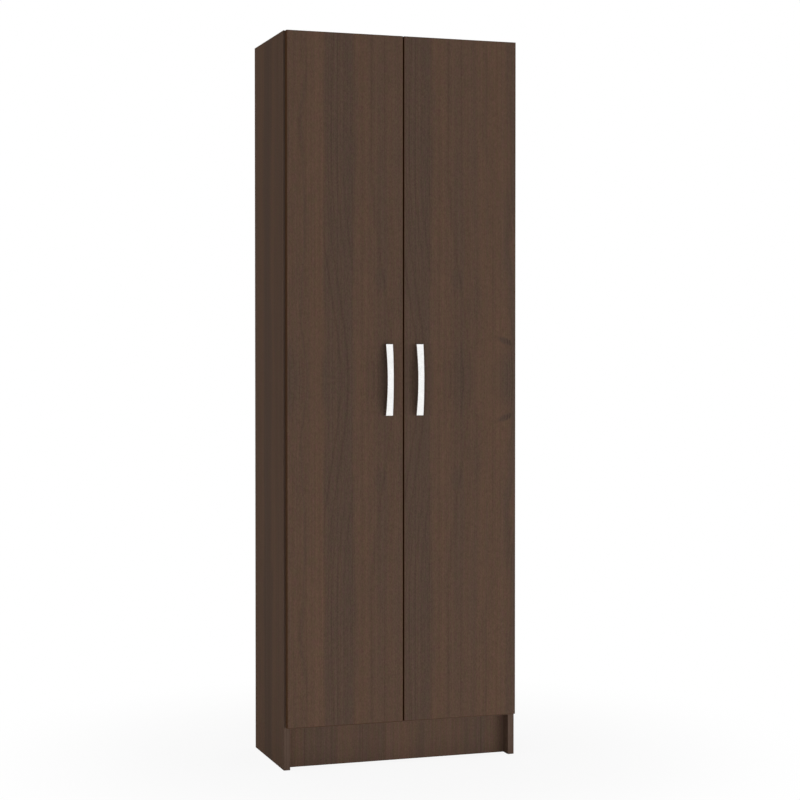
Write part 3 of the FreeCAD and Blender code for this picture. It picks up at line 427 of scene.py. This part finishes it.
def board(name, order, starts, across_sign=1, mirror_level=None, calm=0.0, tone=1.0):
    """A laminated board. The order gives its axes across, through and along the grain.

    A mirror level lays the print both ways from there, with the figure of the doors.
    """
    material, tree, shader = new_finish(name)
    coordinate = add(tree, "TexCoord").outputs
    axes = parts_of(tree, coordinate["Object"])
    across_axis, through_axis, along_axis = order
    facing = parts_of(tree, coordinate["Normal"])[through_axis]
    across = math_of(tree, "MULTIPLY_ADD", axes[across_axis], across_sign, starts[0])
    along = plus(tree, axes[along_axis], starts[1])
    values = {"Place": coordinate["Object"], "Facing": facing, "Calm": calm, "Tone": tone}
    if mirror_level is not None:
        along = math_of(tree, "ABSOLUTE", math_of(tree, "SUBTRACT", along, mirror_level))
        values["Bow"] = between(tree, along, BOW_START, BOW_END, BOW_REACH, 0.0)
        values["Marks"] = 1.0
    values["Board"] = joined(tree, across, axes[through_axis], along)
    made = place_group(tree, LAMINATED, values)
    surface(tree, shader, made, strength=0.25, distance=0.0002)
    shader.inputs["Specular IOR Level"].default_value = MATTE_LAMINATE
    return material


SIDE_BOARD = board("walnut of side panels", "YXZ", SIDE_START, across_sign=-1)
LEVEL_BOARD = board("walnut of level panels", "YZX", LEVEL_START)
BOARDS = {
    "left_door": board("walnut of left door", "XYZ", LEFT_DOOR_START, mirror_level=HANDLE_LEVEL),
    "right_door": board("walnut of right door", "XYZ", RIGHT_DOOR_START, mirror_level=HANDLE_LEVEL),
    # The plinth's print is painted lighter than the other boards' by its tone: painted light against the
    # shade of its recess under the doors.
    "plinth": board("walnut of plinth with painted light", "XYZ", PLINTH_START, calm=0.40, tone=1.12),
    **dict.fromkeys(("left_side_panel", "right_side_panel"), SIDE_BOARD),
    **dict.fromkeys(("top_panel", "bottom_panel", "hat_shelf", "shoe_shelf"), LEVEL_BOARD),
}


def edge_band(name, place_of, colour, swing):
    material, tree, shader = new_finish(name)
    made = place_group(tree, BANDING, {"Strip": place_of(tree), "Color": colour, "Swing": swing})
    surface(tree, shader, made, strength=0.15, distance=0.0001)
    shader.inputs["Specular IOR Level"].default_value = MATTE_LAMINATE
    return material


BAND_THICKNESS = 0.001


def door_strips(tree):
    """Places along the bands of a door: upright ones run along Z, level ones along X."""
    across, through, up = parts_of(tree, add(tree, "TexCoord").outputs["Object"])
    middle = (left_low.z + left_high.z) / 2
    reach = (left_high.z - left_low.z) / 2
    off = math_of(tree, "ABSOLUTE", math_of(tree, "SUBTRACT", up, middle))
    level = math_of(tree, "GREATER_THAN", off, reach - BAND_THICKNESS)
    upright_strip = joined(tree, across, through, up)
    level_strip = joined(tree, up, through, across)
    return mix(tree, level, upright_strip, level_strip, kind="VECTOR")


def carcass_strips(tree):
    """Places along the bands of the carcass: along Z on the sides, Y on their tops, X on panels."""
    across, through, up = parts_of(tree, add(tree, "TexCoord").outputs["Object"])
    side = math_of(tree, "GREATER_THAN", math_of(tree, "ABSOLUTE", across), -side_high.x)
    top = math_of(tree, "GREATER_THAN", through, side_low.y)
    front_strip = joined(tree, across, through, up)
    top_strip = joined(tree, across, up, through)
    panel_strip = joined(tree, up, through, across)
    side_strip = mix(tree, top, front_strip, top_strip, kind="VECTOR")
    return mix(tree, side, panel_strip, side_strip, kind="VECTOR")


# The press mesh behind the back: its pitch in metres, and its relief beside that of the fibres. A normal
# with a smaller Y than this one is on the inside.
PRESS_MESH = 0.0016
PRESS_RELIEF = 0.3
INSIDE_NORMAL = -0.5


def hardboard(name):
    """The thin back: printed to match inside, bare with a screen print of its press behind."""
    material, tree, shader = new_finish(name)
    coordinate = add(tree, "TexCoord").outputs
    place = coordinate["Object"]
    across, through, up = parts_of(tree, place)
    sheet = joined(tree, plus(tree, across, BACK_START[0]), through, plus(tree, up, BACK_START[1]))
    printed = place_group(tree, WALNUT, {"Board": sheet, "Tone": 1.0})
    fibre = noise(tree, place, cells=(260, 260, 260), detail=5.0, roughness=0.65)
    cloud = noise(tree, place, cells=(9, 9, 9), detail=3.0)
    turns = 2 * math.pi / PRESS_MESH
    weft, warp = (math_of(tree, "SINE", times(tree, axis, turns)) for axis in (across, up))
    pressed = math_of(tree, "MULTIPLY_ADD", times(tree, weft, warp), PRESS_RELIEF, fibre)
    bare = lit(tree, mix(tree, fibre, srgb(104, 72, 46), srgb(150, 112, 76)), uneven(tree, (cloud, 0.18)))
    rough = about(tree, fibre, swing=0.1, middle=0.8)
    rear = math_of(tree, "GREATER_THAN", parts_of(tree, coordinate["Normal"])["Y"], INSIDE_NORMAL)
    made = {"Color": mix(tree, rear, printed["Color"], bare),
            "Roughness": mix(tree, rear, printed["Roughness"], rough, kind="FLOAT"),
            "Height": mix(tree, rear, printed["Height"], pressed, kind="FLOAT")}
    surface(tree, shader, made, strength=0.3, distance=0.0003)
    shader.inputs["Specular IOR Level"].default_value = MATTE_LAMINATE
    return material


def metal(name, colour, roughness, metallic=1.0, strength=0.08):
    material, tree, shader = new_finish(name)
    place = add(tree, "TexCoord").outputs["Object"]
    made = place_group(tree, PLATED, {"Place": place, "Color": colour, "Roughness": roughness})
    surface(tree, shader, made, strength, distance=0.0001)
    shader.inputs["Metallic"].default_value = metallic
    return material


def plastic(name, colour, roughness):
    material, tree, shader = new_finish(name)
    place = add(tree, "TexCoord").outputs["Object"]
    made = place_group(tree, MOULDED, {"Place": place, "Color": colour, "Roughness": roughness})
    surface(tree, shader, made, strength=0.12, distance=0.0001)
    return material


def beech():
    """Raw dowel wood with its grain along X, and fine flecks."""
    material, tree, shader = new_finish("beech")
    place = add(tree, "TexCoord").outputs["Object"]
    grain = noise(tree, place, cells=(60, 900, 900), detail=4.0, roughness=0.6)
    fleck = between(tree, noise(tree, place, cells=(350, 1600, 1600), detail=1.0), low=0.58, high=0.70)
    wood = mix(tree, grain, srgb(222, 190, 150), srgb(186, 146, 104))
    made = {"Color": lit(tree, wood, about(tree, fleck, swing=-0.06, middle=0.94)),
            "Roughness": about(tree, grain, swing=0.1, middle=0.62), "Height": grain}
    surface(tree, shader, made, strength=0.2, distance=0.0002)
    return material


FINISHES = {
    # The doors' bands are a darker brown than the carcass bands, and every band is mixed about halfway
    # towards the dark streak brown.
    "door_edge": edge_band("door edge band", door_strips, srgb(80, 54, 34), swing=0.10),
    "carcass_edge": edge_band("carcass edge band", carcass_strips, srgb(108, 90, 80), swing=0.14),
    "back_board": hardboard("hardboard"),
    "handle_metal": metal("satin silver", (0.92, 0.92, 0.91, 1), roughness=0.24),
    "hinge_steel": metal("nickel plate", (0.72, 0.70, 0.66, 1), roughness=0.36, metallic=0.7),
    "zinc_screws": metal("bright zinc plate", (0.68, 0.69, 0.71, 1), roughness=0.38, metallic=0.8),
    "cam_zinc": metal("cast zinc", (0.56, 0.56, 0.57, 1), roughness=0.46, strength=0.3),
    "bolt_steel": metal("bolt steel", (0.58, 0.58, 0.58, 1), roughness=0.36),
    "beech": beech(),
    "rail_chrome": metal("rail chrome", (0.82, 0.82, 0.83, 1), roughness=0.20, metallic=0.8, strength=0.03),
    "bracket_zinc": metal("bracket zinc", (0.60, 0.60, 0.61, 1), roughness=0.38),
    "cap_plastic": plastic("black cap plastic", srgb(44, 42, 40), roughness=0.5),
    "catch_plastic": plastic("brown catch plastic", srgb(74, 54, 43), roughness=0.48),
    "magnet_steel": metal("magnet steel", (0.46, 0.46, 0.46, 1), roughness=0.42),
    "strike_steel": metal("strike steel", (0.62, 0.62, 0.63, 1), roughness=0.32),
    "bumper_rubber": plastic("clear grey rubber", srgb(196, 196, 192), roughness=0.42),
}
for name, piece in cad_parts.items():
    slot = piece.material_slots[0]
    slot.material = BOARDS[name] if name in BOARDS else FINISHES[slot.material.name]


# Studio

WHITE = (1, 1, 1, 1)
ROOM_LIGHT = 0.18

# A wide floor just under the wardrobe. Its white glow is weaker close by, where it keeps the shadow: how
# weak, and from which distance to which it grows to its full strength, in metres.
FLOOR_REACH = 30.0
FLOOR_LEVEL = -0.0004
FLOOR_GREY = (0.90, 0.90, 0.90, 1)
NEAR_GLOW = 0.91
GLOW_START = 0.35
GLOW_END = 1.2

# A low tent of soft lamps: the azimuth of each wall from the front, in degrees, its width in metres and its
# power in watts. The bounce lies on the floor in front of the doors.
TENT_WALLS = {
    "front softbox": (0, 22.0, 352),
    "key softbox": (33, 4.3, 152),
    "right softbox": (90, 13.0, 210),
    "back softbox": (180, 13.0, 380),
    "left softbox": (270, 13.0, 172),
}
TENT_REACH = 8.0
WALL_HEIGHT = 1.3
ROOF_LEVEL = 5.0
ROOF_WIDTH = 3.0
ROOF_POWER = 70
BOUNCE_PLACE = (0, -1.26, 0.004)
BOUNCE_SIZE = (2.4, 2.2)
BOUNCE_POWER = 4.6

# The photograph's camera, for a square picture 800 pixels across: its place in metres, its turns in degrees
PICTURE = 800
SENSOR = 36
FOCAL_PIXELS = 1858.23
CENTRE_ROW = 384
CAMERA_PLACE = (-1.45575, -4.46851, 1.01820)
CAMERA_YAW = 18.477
CAMERA_PITCH = 1.023


def room_rays(tree):
    """Shares of the rays that show the white room, straight or in metal, and of those off matt faces."""
    seen = add(tree, "LightPath").outputs
    mirrored = math_of(tree, "MAXIMUM", seen["Is Glossy Ray"], seen["Is Transmission Ray"])
    first = math_of(tree, "LESS_THAN", seen["Diffuse Depth"], 0.5)
    shown = math_of(tree, "MAXIMUM", seen["Is Camera Ray"], times(tree, mirrored, first))
    return shown, math_of(tree, "SUBTRACT", 1.0, mirrored)


def pale_floor():
    """A finish that looks white further out and keeps the wardrobe's shadow close by."""
    material = bpy.data.materials.new("pale floor")
    material.use_nodes = True
    tree = material.node_tree
    tree.nodes.clear()
    bare = add(tree, "BsdfDiffuse", {"Color": FLOOR_GREY}).outputs[0]
    glow = add(tree, "Emission", {"Color": WHITE, "Strength": 1.0}).outputs[0]
    distance = length_of(tree, add(tree, "TexCoord").outputs["Object"])
    shown = room_rays(tree)[0]
    share = times(tree, shown, between(tree, distance, GLOW_START, GLOW_END, NEAR_GLOW, 1.0))
    whole = add(tree, "MixShader", {0: share, 1: bare, 2: glow})
    tree.links.new(whole.outputs[0], add(tree, "OutputMaterial").inputs["Surface"])
    return material


def lit_floor():
    mesh = bpy.data.meshes.new("floor")
    corners = [(-FLOOR_REACH, -FLOOR_REACH, 0), (FLOOR_REACH, -FLOOR_REACH, 0),
               (FLOOR_REACH, FLOOR_REACH, 0), (-FLOOR_REACH, FLOOR_REACH, 0)]
    mesh.from_pydata(corners, [], [(0, 1, 2, 3)])
    mesh.materials.append(pale_floor())
    floor = bpy.data.objects.new("floor", mesh)
    floor.location.z = FLOOR_LEVEL
    scene.collection.objects.link(floor)


def world_light():
    """A room that looks white, and lights matt faces a little from all round."""
    world = bpy.data.worlds.new("studio")
    scene.world = world
    world.use_nodes = True
    tree = world.node_tree
    tree.nodes.clear()
    shown, matt = room_rays(tree)
    strength = mix(tree, shown, times(tree, matt, ROOM_LIGHT), 1.0, kind="FLOAT")
    back = add(tree, "Background", {"Color": WHITE, "Strength": strength})
    tree.links.new(back.outputs[0], add(tree, "OutputWorld").inputs["Surface"])


def softbox(name, place, turn, size, power):
    """A soft lamp that isn't seen, so that metal shows the white room and not the lamps."""
    lamp = bpy.data.lights.new(name, "AREA")
    lamp.shape = "RECTANGLE"
    lamp.size, lamp.size_y = size
    lamp.energy = power
    holder = bpy.data.objects.new(name, lamp)
    holder.location = place
    holder.rotation_euler = turn
    holder.visible_camera = False
    holder.visible_glossy = False
    scene.collection.objects.link(holder)


def wall_light(name, azimuth, width, power):
    """A wide low softbox on one side of the tent."""
    turn = math.radians(azimuth)
    place = (TENT_REACH * math.sin(turn), -TENT_REACH * math.cos(turn), WALL_HEIGHT / 2)
    softbox(name, place, (math.radians(90), 0, turn), (width, WALL_HEIGHT), power)


def photo_camera():
    data = bpy.data.cameras.new("camera")
    data.sensor_width = SENSOR
    data.lens = SENSOR * FOCAL_PIXELS / PICTURE
    data.shift_y = (CENTRE_ROW - PICTURE / 2) / PICTURE
    holder = bpy.data.objects.new("camera", data)
    holder.location = CAMERA_PLACE
    holder.rotation_euler = (math.radians(90 - CAMERA_PITCH), 0, math.radians(-CAMERA_YAW))
    scene.collection.objects.link(holder)
    scene.camera = holder


lit_floor()
world_light()
for name, wall in TENT_WALLS.items():
    wall_light(name, *wall)
softbox("roof softbox", (0, 0, ROOF_LEVEL), (0, 0, 0), (ROOF_WIDTH, ROOF_WIDTH), ROOF_POWER)
softbox("floor bounce", BOUNCE_PLACE, (math.radians(180), 0, 0), BOUNCE_SIZE, BOUNCE_POWER)
photo_camera()
